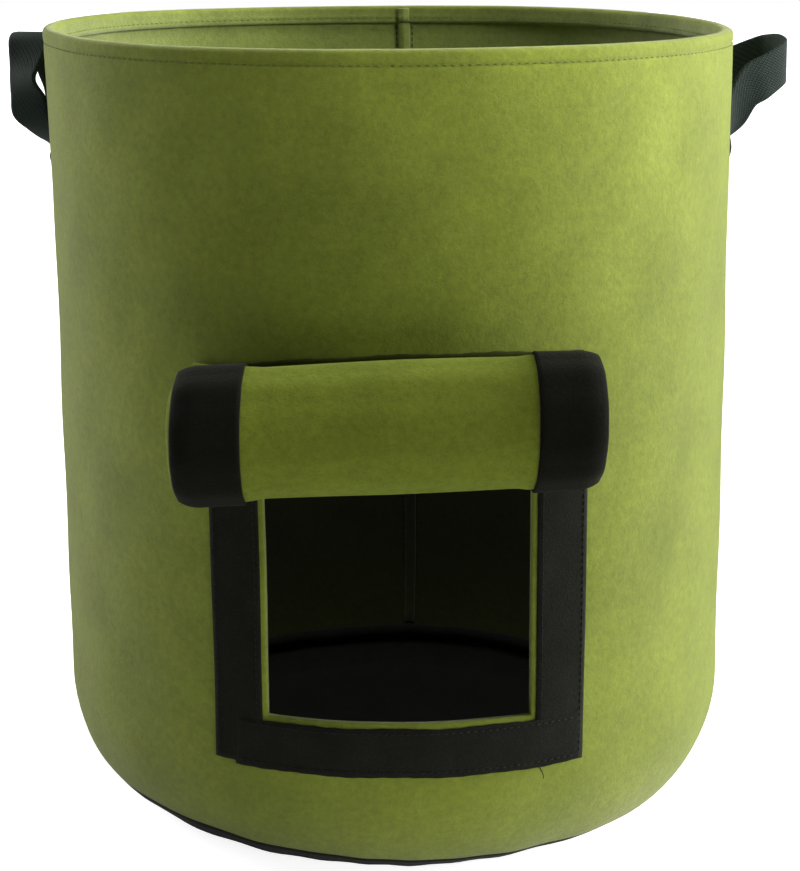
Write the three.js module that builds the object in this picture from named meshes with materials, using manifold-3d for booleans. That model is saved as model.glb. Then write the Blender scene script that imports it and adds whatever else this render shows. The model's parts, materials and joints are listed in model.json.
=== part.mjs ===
// Fabric grow bag: an open felt cylinder with a dark felt base, two webbing handles, and a harvest window
// in the front that a felt flap with hook tape closes. The flap is modelled rolled up above the window.
// Millimetres, +Z up. The origin is the centre of the base on the floor, and the window faces -Y.
import * as THREE from 'three';
import { mergeVertices } from 'three/addons/utils/BufferGeometryUtils.js';
import Module from 'manifold-3d';

// Driving dimensions
const BAG_RADIUS = 150;
const BAG_HEIGHT = 345;
const FELT = 3;
const CLEARANCE = 0.4; // between two pieces that lie on each other
const ROUND_STEPS = 80; // facets round the bag

// The rounded bottom corner is a quarter ellipse. The wall stops and the base begins part way round it.
const CORNER_ACROSS = 43;
const CORNER_UP = 55;
const WALL_STOPS_AT = THREE.MathUtils.degToRad(60);
const BASE_STARTS_AT = THREE.MathUtils.degToRad(60.8);

// The wall's top edge is folded inwards once
const HEM_DEPTH = 8.5;
const RIM_ROUNDING = 1.6;

// The turned-in edges of the two seams, inside the bag
const BACK_SEAM_WIDTH = 6;
const BACK_SEAM_OFFSET = 10;
const BACK_SEAM_THICKNESS = 2.4;
const BACK_SEAM_STOPS_AT = THREE.MathUtils.degToRad(40);
const SEAM_CLEARANCE = 0.6; // between the wall's inside and the turned-in edges
const BASE_SEAM_WIDTH = 8;
const BASE_SEAM_THICKNESS = 5;

// The window and the loop tape sewn round three sides of it. Widths run along the wall's curve.
const WINDOW_HALF_WIDTH = 54.5;
const WINDOW_LOW = 79;
const WINDOW_HIGH = 186;
const TAPE_MARGIN = 3; // felt left showing between the cut edge and the tape
const TAPE_WIDTH = 20.5;
const BOTTOM_TAPE_WIDTH = 18.5;
const TAPE_THICKNESS = 1.3;
const SIDE_TAPE_TOP = 215.5;

// The flap hangs from a sewn edge above the window. It is cut into strips that follow its rolled shape.
const FLAP_HALF_WIDTH = 79.5;
const FLAP_LENGTH = 160;
const FLAP_SEAM_LOW = 218.5;
const FLAP_SEAM_WIDTH = 10;
const FLAP_HINGE_OUT = 155;
const FLAP_HINGE_UP = 217;
const SLAT_TURNS = [31, 31, 31, 31, 31, 31, 32, 34, 37, 41, 45]; // degrees, tighter at the free end
const SLAT_COUNT = SLAT_TURNS.length + 1;
const SLAT_PITCH = FLAP_LENGTH / SLAT_COUNT;
const SLAT_END_GAP = 0.8; // each strip stops this far short of its hinge line
const HOOK_TAPE_INSIDE = 54.5;
const HOOK_TAPE_THICKNESS = 1.1;
const HOOK_TAPE_CLEARANCE = 0.3;

// Webbing handles, one at each side, slightly behind the middle
const WEBBING_WIDTH = 20;
const WEBBING_THICKNESS = 1.8;
const HANDLE_ANGLE = 101; // degrees round from the window's middle
const HANDLE_END_ANGLE = 9.5; // each sewn end lies this far to the side of the handle's middle
const HANDLE_END_LOW = 245;
const HANDLE_END_HIGH = 285;
const HANDLE_HINGE_OUT = 152.8;
const HANDLE_HINGE_UP = 286.6;
const LOOP_LEG = [[0, 0, 0.5], [3, 0, 11], [10, 2, 27], [13, 8, 42]]; // out, towards the middle, up
const LOOP_TOP = [14, 0, 51];
const LOOP_TWIST = 0.3; // share of the loop's length in which each leg makes its quarter turn
const LOOP_STEPS = 40;

const felt = { color: 0x717f2e, roughness: 0.95, metalness: 0 };
const darkFelt = { color: 0x1c1d1a, roughness: 0.95, metalness: 0 };
const tape = { color: 0x14140f, roughness: 0.9, metalness: 0 };
const webbing = { color: 0x2c3330, roughness: 0.8, metalness: 0 };

const wasm = await Module();
wasm.setup();

function makeMesh(name, geometry, look) {
  const mesh = new THREE.Mesh(geometry, new THREE.MeshStandardMaterial(look));
  mesh.name = name;
  return mesh;
}

function toSolid(geometry) {
  const bare = geometry.clone();
  bare.deleteAttribute('normal');
  bare.deleteAttribute('uv');
  const merged = mergeVertices(bare, 1e-4);
  const vertProperties = new Float32Array(merged.attributes.position.array);
  const triVerts = new Uint32Array(merged.index.array);
  return new wasm.Manifold(new wasm.Mesh({ numProp: 3, vertProperties, triVerts }));
}

function toGeometry(solid) {
  const { vertProperties, triVerts } = solid.getMesh();
  const geometry = new THREE.BufferGeometry();
  geometry.setAttribute('position', new THREE.BufferAttribute(vertProperties, 3));
  geometry.setIndex(new THREE.BufferAttribute(triVerts, 1));
  geometry.computeVertexNormals();
  return geometry;
}

// A ring turned about +Z from an outline of [radius, height] points, listed anticlockwise
function turned(outline, steps = ROUND_STEPS) {
  const points = outline.map(([radius, height]) => new THREE.Vector2(radius, height));
  return new THREE.LatheGeometry(points, steps).rotateX(Math.PI / 2);
}

// A plate that follows the wall: from and to are lengths along the bag's surface from the window's middle
function curvedPlate(from, to, low, high, innerRadius, thickness) {
  const start = -Math.PI / 2 + from / BAG_RADIUS;
  const end = -Math.PI / 2 + to / BAG_RADIUS;
  const plan = new THREE.Shape();
  plan.absarc(0, 0, innerRadius + thickness, start, end, false);
  plan.absarc(0, 0, innerRadius, end, start, true);
  const curveSegments = Math.max(3, Math.ceil(Math.abs(to - from) / 8));
  const options = { depth: high - low, bevelEnabled: false, curveSegments };
  return new THREE.ExtrudeGeometry(plan, options).translate(0, 0, low);
}

// A point on the rounded corner, inset from the outside; angle 0 is the top of the corner
function cornerPoint(angle, inset) {
  const radius = BAG_RADIUS - CORNER_ACROSS + (CORNER_ACROSS - inset) * Math.cos(angle);
  return [radius, CORNER_UP - (CORNER_UP - inset) * Math.sin(angle)];
}

function cornerCurve(from, to, inset, steps) {
  return Array.from({ length: steps + 1 }, (_, i) => cornerPoint(from + ((to - from) * i) / steps, inset));
}

function wallPanel() {
  const inside = BAG_RADIUS - FELT;
  const hem = BAG_RADIUS - 2 * FELT;
  const outline = [
    ...cornerCurve(WALL_STOPS_AT, 0, 0, 8),
    [BAG_RADIUS, BAG_HEIGHT - RIM_ROUNDING],
    [BAG_RADIUS - RIM_ROUNDING, BAG_HEIGHT],
    [hem + RIM_ROUNDING, BAG_HEIGHT],
    [hem, BAG_HEIGHT - RIM_ROUNDING],
    [hem, BAG_HEIGHT - HEM_DEPTH],
    [inside, BAG_HEIGHT - HEM_DEPTH],
    ...cornerCurve(0, WALL_STOPS_AT, FELT, 8),
    cornerPoint(WALL_STOPS_AT, 0),
  ];
  const half = WINDOW_HALF_WIDTH;
  const cutInside = BAG_RADIUS - 4 * FELT;
  const window = curvedPlate(-half, half, WINDOW_LOW, WINDOW_HIGH, cutInside, 8 * FELT);
  return toGeometry(toSolid(turned(outline)).subtract(toSolid(window)));
}

function basePanel() {
  const quarter = Math.PI / 2;
  const outline = [
    [0, 0],
    ...cornerCurve(quarter, BASE_STARTS_AT, 0, 4),
    ...cornerCurve(BASE_STARTS_AT, quarter, FELT, 4),
    [0, FELT],
  ];
  return turned(outline);
}

// The wall's and the base's turned-in edges, sewn together and standing inside the corner
function baseSeamAllowance() {
  const [radius, height] = cornerPoint(WALL_STOPS_AT, FELT + SEAM_CLEARANCE);
  const across = Math.cos(WALL_STOPS_AT) * CORNER_UP;
  const inward = new THREE.Vector2(-across, Math.sin(WALL_STOPS_AT) * CORNER_ACROSS).normalize();
  const along = new THREE.Vector2(inward.y, -inward.x);
  const corner = (side, deep) => [
    radius + (along.x * side * BASE_SEAM_THICKNESS) / 2 + inward.x * deep,
    height + (along.y * side * BASE_SEAM_THICKNESS) / 2 + inward.y * deep,
  ];
  const first = corner(-1, 0);
  return turned([first, corner(1, 0), corner(1, BASE_SEAM_WIDTH), corner(-1, BASE_SEAM_WIDTH), first]);
}

// The wall's two vertical edges, turned in and sewn together down the back
function backSeamAllowance() {
  const top = BAG_HEIGHT - HEM_DEPTH - CLEARANCE;
  const outer = FELT + SEAM_CLEARANCE;
  const inner = outer + BACK_SEAM_THICKNESS;
  const profile = [
    ...cornerCurve(BACK_SEAM_STOPS_AT, 0, outer, 6),
    [BAG_RADIUS - outer, top],
    [BAG_RADIUS - inner, top],
    ...cornerCurve(0, BACK_SEAM_STOPS_AT, inner, 6),
  ];
  const shape = new THREE.Shape(profile.map(([radius, height]) => new THREE.Vector2(radius, height)));
  const geometry = new THREE.ExtrudeGeometry(shape, { depth: BACK_SEAM_WIDTH, bevelEnabled: false });
  geometry.rotateX(Math.PI / 2).rotateZ(Math.PI / 2);
  return geometry.translate(-BACK_SEAM_WIDTH / 2, 0, 0).rotateZ(-BACK_SEAM_OFFSET / BAG_RADIUS);
}

function bagBody() {
  const group = new THREE.Group();
  const tapeRadius = BAG_RADIUS + CLEARANCE;
  const sideFrom = WINDOW_HALF_WIDTH + TAPE_MARGIN;
  const sideTo = sideFrom + TAPE_WIDTH;
  const bottomHigh = WINDOW_LOW - TAPE_MARGIN;
  const bottomLow = bottomHigh - BOTTOM_TAPE_WIDTH;
  group.add(makeMesh('wall_panel', wallPanel(), felt));
  group.add(makeMesh('back_seam_allowance', backSeamAllowance(), felt));
  group.add(makeMesh('base_panel', basePanel(), darkFelt));
  group.add(makeMesh('base_seam_allowance', baseSeamAllowance(), darkFelt));
  const plate = (from, to, low, high) => curvedPlate(from, to, low, high, tapeRadius, TAPE_THICKNESS);
  group.add(makeMesh('window_tape_left', plate(-sideTo, -sideFrom, bottomLow, SIDE_TAPE_TOP), tape));
  group.add(makeMesh('window_tape_right', plate(sideFrom, sideTo, bottomLow, SIDE_TAPE_TOP), tape));
  const bottomHalf = sideFrom - CLEARANCE;
  group.add(makeMesh('window_tape_bottom', plate(-bottomHalf, bottomHalf, bottomLow, bottomHigh), tape));
  const seamHigh = FLAP_SEAM_LOW + FLAP_SEAM_WIDTH;
  const seam = curvedPlate(-FLAP_HALF_WIDTH, FLAP_HALF_WIDTH, FLAP_SEAM_LOW, seamHigh, tapeRadius, FELT);
  group.add(makeMesh('flap_sewn_edge', seam, felt));
  return group;
}

// One strip of the flap, hanging down from its hinge line, with the hook tape on its wall side (+Y)
function flapSlat(number) {
  const group = new THREE.Group();
  const length = SLAT_PITCH - 2 * SLAT_END_GAP;
  const middle = -SLAT_PITCH / 2;
  const tapeY = FELT / 2 + HOOK_TAPE_CLEARANCE + HOOK_TAPE_THICKNESS / 2;
  const box = (width, thickness, x, y) =>
    new THREE.BoxGeometry(width, thickness, length).translate(x, y, middle);
  group.add(makeMesh(`flap_slat_${number}`, box(2 * FLAP_HALF_WIDTH, FELT, 0, 0), felt));
  const tapeX = HOOK_TAPE_INSIDE + TAPE_WIDTH / 2;
  for (const [side, sign] of [['left', -1], ['right', 1]]) {
    const geometry = box(TAPE_WIDTH, HOOK_TAPE_THICKNESS, sign * tapeX, tapeY);
    group.add(makeMesh(`hook_tape_${side}_${number}`, geometry, tape));
  }
  if (number === SLAT_COUNT) {
    const width = 2 * (HOOK_TAPE_INSIDE - CLEARANCE);
    group.add(makeMesh('hook_tape_bottom', box(width, HOOK_TAPE_THICKNESS, 0, tapeY), tape));
  }
  return group;
}

// The flap as it is rolled: each strip's group hangs from the end of the one before and is turned about X
function rolledFlap() {
  const first = new THREE.Group();
  first.position.set(0, -FLAP_HINGE_OUT, FLAP_HINGE_UP);
  let strip = first;
  strip.add(flapSlat(1));
  for (let number = 2; number <= SLAT_COUNT; number += 1) {
    const next = new THREE.Group();
    next.position.set(0, 0, -SLAT_PITCH);
    next.rotation.x = -THREE.MathUtils.degToRad(SLAT_TURNS[number - 2]);
    next.add(flapSlat(number));
    strip.add(next);
    strip = next;
  }
  return first;
}

// A closed ribbon: four corners at each station of a centre line, turned to the station's width direction
function ribbon(stations) {
  const positions = [];
  for (const { centre, across, along } of stations) {
    const width = across.clone().addScaledVector(along, -across.dot(along)).normalize();
    const normal = new THREE.Vector3().crossVectors(width, along);
    for (const [side, face] of [[-1, -1], [1, -1], [1, 1], [-1, 1]]) {
      const point = centre.clone().addScaledVector(width, (side * WEBBING_WIDTH) / 2);
      point.addScaledVector(normal, (face * WEBBING_THICKNESS) / 2);
      positions.push(...point.toArray());
    }
  }
  const index = [0, 1, 2, 0, 2, 3];
  for (let station = 0; station < stations.length - 1; station += 1) {
    for (let corner = 0; corner < 4; corner += 1) {
      const here = 4 * station + corner;
      const beside = 4 * station + ((corner + 1) % 4);
      index.push(here, beside + 4, beside, here, here + 4, beside + 4);
    }
  }
  const end = 4 * (stations.length - 1);
  index.push(end, end + 2, end + 1, end, end + 3, end + 2);
  const geometry = new THREE.BufferGeometry();
  geometry.setAttribute('position', new THREE.Float32BufferAttribute(positions, 3));
  geometry.setIndex(index);
  geometry.computeVertexNormals();
  return geometry;
}

// The free part of a handle, in axes of its own: X out from the bag, Y round it, Z up, from the hinge line.
// Each leg leaves its sewn end flat to the wall and twists a quarter turn, so the arch's top lies flat.
function handleLoop() {
  const foot = HANDLE_HINGE_OUT * Math.tan(THREE.MathUtils.degToRad(HANDLE_END_ANGLE));
  const leg = LOOP_LEG.map(([out, inward, up]) => [out, inward - foot, up]);
  const points = [
    ...leg,
    LOOP_TOP,
    ...leg.map(([out, round, up]) => [out, -round, up]).reverse(),
  ];
  const curve = new THREE.CatmullRomCurve3(points.map((point) => new THREE.Vector3(...point)));
  const stations = [];
  for (let step = 0; step <= LOOP_STEPS; step += 1) {
    const place = step / LOOP_STEPS;
    const centre = curve.getPointAt(place);
    const along = step % LOOP_STEPS ? curve.getTangentAt(place) : new THREE.Vector3(0, 0, step ? -1 : 1);
    const { smoothstep } = THREE.MathUtils;
    const turns = smoothstep(place, 0, LOOP_TWIST) + smoothstep(place, 1 - LOOP_TWIST, 1);
    const twist = (turns * Math.PI) / 2;
    stations.push({ centre, across: new THREE.Vector3(Math.sin(twist), Math.cos(twist), 0), along });
  }
  return ribbon(stations);
}

function handle(side, sign) {
  const group = new THREE.Group();
  const radians = THREE.MathUtils.degToRad;
  for (const [end, turn] of [['near', -HANDLE_END_ANGLE], ['far', HANDLE_END_ANGLE]]) {
    const middle = sign * radians(HANDLE_ANGLE + turn) * BAG_RADIUS;
    const half = WEBBING_WIDTH / 2;
    const radius = BAG_RADIUS + CLEARANCE;
    const geometry = curvedPlate(
      middle - half, middle + half, HANDLE_END_LOW, HANDLE_END_HIGH, radius, WEBBING_THICKNESS);
    group.add(makeMesh(`${side}_handle_${end}_end`, geometry, webbing));
  }
  const loop = makeMesh(`${side}_handle_loop`, handleLoop(), webbing);
  const turn = sign * radians(HANDLE_ANGLE) - Math.PI / 2;
  loop.rotation.z = turn;
  loop.position.set(HANDLE_HINGE_OUT * Math.cos(turn), HANDLE_HINGE_OUT * Math.sin(turn), HANDLE_HINGE_UP);
  group.add(loop);
  return group;
}

const growBag = new THREE.Group();
growBag.name = 'fabric_grow_bag';
growBag.add(bagBody(), rolledFlap(), handle('left', -1), handle('right', 1));

export default growBag;
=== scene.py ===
"""Fabric grow bag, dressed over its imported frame. Metres, +Z up, the window faces -Y.

A place on the wall is given by its arc (the length round the bag from the window's middle), its height, and
how far it lies off the wall's outside. A place on the flap is given by its distance from the middle, and by
how far along the flap it is, counted in strips from the hinge line at the sewn edge.
"""
import json
import math

import bmesh
import bpy
import numpy as np
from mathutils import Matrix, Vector

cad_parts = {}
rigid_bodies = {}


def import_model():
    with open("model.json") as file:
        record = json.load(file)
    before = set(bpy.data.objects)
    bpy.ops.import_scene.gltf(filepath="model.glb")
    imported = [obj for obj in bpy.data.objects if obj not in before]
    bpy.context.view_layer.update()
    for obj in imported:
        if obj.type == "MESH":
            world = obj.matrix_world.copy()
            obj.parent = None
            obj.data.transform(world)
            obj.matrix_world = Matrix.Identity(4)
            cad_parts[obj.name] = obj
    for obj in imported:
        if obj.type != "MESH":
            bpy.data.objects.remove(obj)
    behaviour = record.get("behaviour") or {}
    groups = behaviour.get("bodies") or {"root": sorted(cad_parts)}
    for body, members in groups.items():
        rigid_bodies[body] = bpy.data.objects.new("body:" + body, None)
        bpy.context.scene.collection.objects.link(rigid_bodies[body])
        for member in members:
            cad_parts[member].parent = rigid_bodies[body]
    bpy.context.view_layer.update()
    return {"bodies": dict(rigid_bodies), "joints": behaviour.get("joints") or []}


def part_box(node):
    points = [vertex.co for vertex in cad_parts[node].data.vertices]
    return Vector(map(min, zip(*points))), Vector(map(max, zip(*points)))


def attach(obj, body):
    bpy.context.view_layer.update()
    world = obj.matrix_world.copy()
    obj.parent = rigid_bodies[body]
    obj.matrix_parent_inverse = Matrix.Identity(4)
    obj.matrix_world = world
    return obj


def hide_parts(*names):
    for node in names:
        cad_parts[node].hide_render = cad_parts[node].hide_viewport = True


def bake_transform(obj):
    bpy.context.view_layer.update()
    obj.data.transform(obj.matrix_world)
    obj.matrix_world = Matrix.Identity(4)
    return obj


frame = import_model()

MM = 0.001

# The wall. Its radius and height come from the frame
WALL_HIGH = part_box("wall_panel")[1]
RADIUS = WALL_HIGH[0]
HEIGHT = WALL_HIGH[2]
ROUND = 2 * math.pi * RADIUS
CORNER_ACROSS = 43 * MM
CORNER_UP = 55 * MM
FLAT_RADIUS = RADIUS - CORNER_ACROSS
FELT = 3 * MM
HEM_DEPTH = 8.5 * MM
STITCH_BELOW_RIM = 6 * MM
BACK_SEAM_ARC = ROUND / 2 - 10 * MM
LEAN_FOOT, LEAN_TOP = 2.4, -1.8  # how far the foot and the rim stand to the right, in mm

# The window and the tapes round it
WINDOW_HALF_WIDTH = 54.5 * MM
WINDOW_LOW = 79 * MM
WINDOW_HIGH = 186 * MM
TAPE_OUTSIDE = 78 * MM
TAPE_INSIDE = 56 * MM
TAPE_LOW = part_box("window_tape_bottom")[0][2]
BOTTOM_TAPE_HIGH = WINDOW_LOW - 1.6 * MM
TAPE_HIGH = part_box("window_tape_left")[1][2]
TAPE_THICKNESS = 1.3 * MM
STITCH_INSET = 2 * MM  # from a tape's edge to its stitches

# The flap's chain of strips
JOINTS = {joint["name"]: joint for joint in frame["joints"]}
FLAP_BODIES = sorted((name for name in frame["bodies"] if name.startswith("flap_")), key=lambda n: int(n[5:]))
FLAP_HALF_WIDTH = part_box("flap_slat_1")[1][0]
FLAP_TAPE_INSIDE = 52.3 * MM
FLAP_TILT = 0.042  # the rolled flap sits a little higher at its right end
FLAP_SHIFT = -2.0 * MM  # it hangs a little to the left
SEWN_PART = 0.45  # strips of felt above the hinge line, sewn down
FLAP_STRAIGHT_FROM = 2.5  # strips from the seam to where the flap no longer follows the wall's curve
ROLL_FROM, ROLL_TO = 1.5, 3.5  # strips from the seam over which the flap turns into the roll
ROLL_LAST_TURN = math.radians(45)  # how far the last strip turns from the one before it
END_CURL_FROM = 69 * MM
END_CURL = 0.33  # how far the roll's ends close towards its middle
DRAWN_IN = 0.03  # how far the felt between the tapes is drawn in towards the roll's middle
NARROWING = 0.045  # how much thinner the roll is at its right end
STRETCH = 0.024  # how far the felt widens at the front of the roll, and draws in at its back
STRETCH_MIDDLE = 6.4  # strips from the seam to the widest place
STRETCH_TURN = math.radians(31)  # the roll's turn at each strip

# The handles. Their sewn ends lie at equal arcs to the left and the right
WEBBING_WIDTH = 20 * MM
WEBBING_THICKNESS = 1.8 * MM
HINGE_X, HINGE_Y, HINGE_Z = JOINTS["right_handle_swing"]["pos_m"]
HANDLE_ARC = math.atan2(HINGE_X, -HINGE_Y) * RADIUS
HANDLE_END_ARC = math.radians(9.5) * RADIUS
HANDLE_END_MIDDLE = HINGE_Z - 22 * MM


# ---------------- meshes

def turn_outward(mesh):
    """Makes the faces of every closed body in a mesh face out of it."""
    bodies = bmesh.new()
    bodies.from_mesh(mesh)
    bmesh.ops.recalc_face_normals(bodies, faces=bodies.faces)
    bodies.to_mesh(mesh)
    bodies.free()


def make_object(name, vertices, faces, materials, face_slots=None, uv=None, sharp=None, closed=True):
    """A smooth shaded object from lists of vertices and faces. uv is one pair for each vertex."""
    mesh = bpy.data.meshes.new(name)
    mesh.from_pydata([tuple(v) for v in vertices], [], [tuple(f) for f in faces])
    if closed:
        turn_outward(mesh)
    for material in materials:
        mesh.materials.append(material)
    mesh.polygons.foreach_set("use_smooth", [True] * len(mesh.polygons))
    if face_slots is not None:
        mesh.polygons.foreach_set("material_index", face_slots)
    if uv is not None:
        layer = mesh.uv_layers.new(name="cloth")
        loops = np.zeros(len(mesh.loops), dtype=np.int32)
        mesh.loops.foreach_get("vertex_index", loops)
        layer.data.foreach_set("uv", np.asarray(uv, dtype=np.float32)[loops].ravel())
    if sharp:
        attribute = mesh.attributes.new("sharp_face", "BOOLEAN", "FACE")
        attribute.data.foreach_set("value", [index in sharp for index in range(len(mesh.polygons))])
    mesh.validate()
    mesh.update()
    thing = bpy.data.objects.new(name, mesh)
    bpy.context.scene.collection.objects.link(thing)
    return thing


def loft(rings, closed=False):
    """A skin over rings of equal length, one after another. closed joins the last ring to the first."""
    count = len(rings[0])
    vertices = [point for ring in rings for point in ring]
    faces = []
    for row in range(len(rings) if closed else len(rings) - 1):
        this, after = row * count, ((row + 1) % len(rings)) * count
        for i in range(count):
            j = (i + 1) % count
            faces.append((this + i, this + j, after + j, after + i))
    return vertices, faces


def capped(rings):
    """A closed body over open rings, with the numbers of its two cap faces."""
    vertices, faces = loft(rings)
    count = len(rings[0])
    last = (len(rings) - 1) * count
    faces.append(tuple(range(count))[::-1])
    faces.append(tuple(last + i for i in range(count)))
    return vertices, faces, {len(faces) - 2, len(faces) - 1}


def join_bodies(bodies):
    """The vertices and faces of several bodies as those of one."""
    vertices, faces = [], []
    for new_vertices, new_faces in bodies:
        offset = len(vertices)
        vertices += list(new_vertices)
        faces += [tuple(offset + i for i in face) for face in new_faces]
    return vertices, faces


def round_ring(centre, across, normal, radius):
    """Six points of a thread's round section."""
    turns = np.linspace(0, 2 * math.pi, 6, endpoint=False)
    return [centre + radius * (math.cos(a) * across + math.sin(a) * normal) for a in turns]


def smoothstep(low, high, value):
    t = np.clip((value - low) / (high - low), 0, 1)
    return t * t * (3 - 2 * t)


def spline(a, b, c, d, t):
    """The place at t between b and c on a smooth curve through a, b, c and d, and the direction there."""
    bend, twist = 2 * a - 5 * b + 4 * c - d, 3 * b - a - 3 * c + d
    place = 0.5 * (2 * b + (c - a) * t + bend * t ** 2 + twist * t ** 3)
    slope = 0.5 * ((c - a) + 2 * bend * t + 3 * twist * t ** 2)
    return place, slope / np.linalg.norm(slope, axis=-1, keepdims=True)


# ---------------- the wall's shape

def bulge(theta, z):
    """How far the felt stands proud of a true cylinder, from long soft waves down to small ones.

    It puckers round the base seam, and is pressed in along the hem's stitches, down the back seam, and under
    the handles' sewn ends. The waves' sizes are in mm.
    """
    wave = 0.9 * np.sin(2 * theta + 0.6) * z / HEIGHT + 0.5 * np.sin(3 * theta - 1.1 + 9 * z)
    wave += 0.35 * np.sin(5 * theta + 14 * z + 2.0) + 0.22 * np.sin(9 * theta - 31 * z + 0.5)
    wave += 0.12 * np.sin(17 * theta + 67 * z + 1.3) + 0.1 * np.sin(23 * theta - 90 * z)
    pucker = np.clip(1 - z / (40 * MM), 0, 1) ** 2
    wave += 0.25 * pucker * np.sin(31 * theta + 3 * np.sin(4 * theta))
    wave -= 0.45 * np.exp(-((z - (HEIGHT - STITCH_BELOW_RIM)) / (0.9 * MM)) ** 2)
    beside_seam = (np.asarray(theta) % (2 * math.pi)) * RADIUS - BACK_SEAM_ARC
    wave -= 0.9 * np.exp(-(beside_seam / (1.3 * MM)) ** 2)
    turn = np.abs((theta + math.pi) % (2 * math.pi) - math.pi) * RADIUS
    for end in (-1, 1):
        beside = np.abs(turn - HANDLE_ARC - end * HANDLE_END_ARC)
        level = np.abs(z - HANDLE_END_MIDDLE)
        wave -= 1.5 * (1 - smoothstep(6 * MM, 22 * MM, beside)) * (1 - smoothstep(24 * MM, 46 * MM, level))
    return wave * MM


def wall_place(arc, z, lift=0.0):
    """Points at lift off the wall's outside, and the outward normals there."""
    arc, z, lift = np.broadcast_arrays(*(np.asarray(v, float) for v in (arc, z, lift)))
    theta = arc / RADIUS
    # The rounded corner is a quarter of an ellipse. out and under are its normal's shares outward and down
    down = np.clip((CORNER_UP - z) / CORNER_UP, 0, 0.999)
    level = np.sqrt(1 - down ** 2)
    out, under = level / CORNER_ACROSS, down / CORNER_UP
    size = np.hypot(out, under)
    out, under = out / size, under / size
    radius = RADIUS - CORNER_ACROSS * (1 - level)
    reach = lift + bulge(theta, z)
    radius = radius + out * reach
    side = np.stack([np.sin(theta), -np.cos(theta)], -1)
    lean = (LEAN_FOOT + (LEAN_TOP - LEAN_FOOT) * (z / HEIGHT) ** 2) * MM
    points = np.concatenate([side * radius[..., None], (z - under * reach)[..., None]], -1)
    points[..., 0] += lean
    normals = np.concatenate([side * out[..., None], -under[..., None]], -1)
    return points, normals


def wall_gap(x):
    """How far the round wall lies behind its own front at a distance from the middle."""
    return RADIUS - np.sqrt(RADIUS ** 2 - x ** 2)


def rim_wave(theta):
    """How far the rim and its stitches wander up and down."""
    return 0.5 * MM * np.sin(3 * theta + 0.8)


def seam_height(theta):
    """The height of the wall's lower edge, where the base is sewn on. It rides up on the left."""
    left = np.clip(np.cos(theta + 0.95), 0, 1) ** 2.5
    return (9.2 + 8.0 * left + 0.8 * np.cos(theta) + 0.4 * np.sin(7 * theta)) * MM


# ---------------- materials

class Nodes:
    """The node tree of a material or the world, with short calls for the nodes they share."""

    def __init__(self, owner):
        owner.use_nodes = True
        self.owner = owner
        self.tree = owner.node_tree

    def add(self, kind, inputs=(), **settings):
        node = self.tree.nodes.new(kind)
        for key, value in settings.items():
            setattr(node, key, value)
        for key, value in dict(inputs).items():
            self.put(node.inputs[key], value)
        return node

    def put(self, socket, value):
        if isinstance(value, bpy.types.NodeSocket):
            self.tree.links.new(value, socket)
        else:
            socket.default_value = value

    def noise(self, place, scale, detail=3.0, roughness=0.5, distortion=0.0):
        inputs = {"Vector": place, "Scale": scale, "Detail": detail}
        inputs.update({"Roughness": roughness, "Distortion": distortion})
        return self.add("ShaderNodeTexNoise", inputs).outputs["Fac"]

    def ramp(self, value, stops):
        node = self.add("ShaderNodeValToRGB", {"Fac": value})
        elements = node.color_ramp.elements
        while len(elements) < len(stops):
            elements.new(0.5)
        for element, (position, colour) in zip(elements, stops):
            element.position = position
            element.color = (*colour, 1)
        return node.outputs["Color"]

    def mix(self, factor, first, second, blend="MIX"):
        node = self.add("ShaderNodeMix", data_type="RGBA", blend_type=blend)
        self.put(node.inputs["Factor"], factor)
        self.put(node.inputs[6], first)
        self.put(node.inputs[7], second)
        return node.outputs[2]

    def math(self, operation, *values):
        node = self.add("ShaderNodeMath", operation=operation)
        for socket, value in zip(node.inputs, values):
            self.put(socket, value)
        return node.outputs[0]

    def bump(self, height, distance, strength=1.0, normal=None):
        inputs = {"Height": height, "Distance": distance, "Strength": strength}
        if normal is not None:
            inputs["Normal"] = normal
        return self.add("ShaderNodeBump", inputs).outputs["Normal"]

    def finish(self, colour, normal, roughness, sheen=0.0, sheen_tint=(1, 1, 1), specular=0.2):
        """Sets up a material's shader, and returns the material."""
        values = {"Base Color": colour, "Normal": normal, "Roughness": roughness}
        values.update({"Specular IOR Level": specular, "Sheen Weight": sheen})
        values.update({"Sheen Roughness": 0.55, "Sheen Tint": (*sheen_tint, 1)})
        for key, value in values.items():
            self.put(self.tree.nodes["Principled BSDF"].inputs[key], value)
        return self.owner


def material_nodes(name):
    return Nodes(bpy.data.materials.new(name))


def scaled(colour, factor):
    return tuple(min(1.0, channel * factor) for channel in colour)


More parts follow.
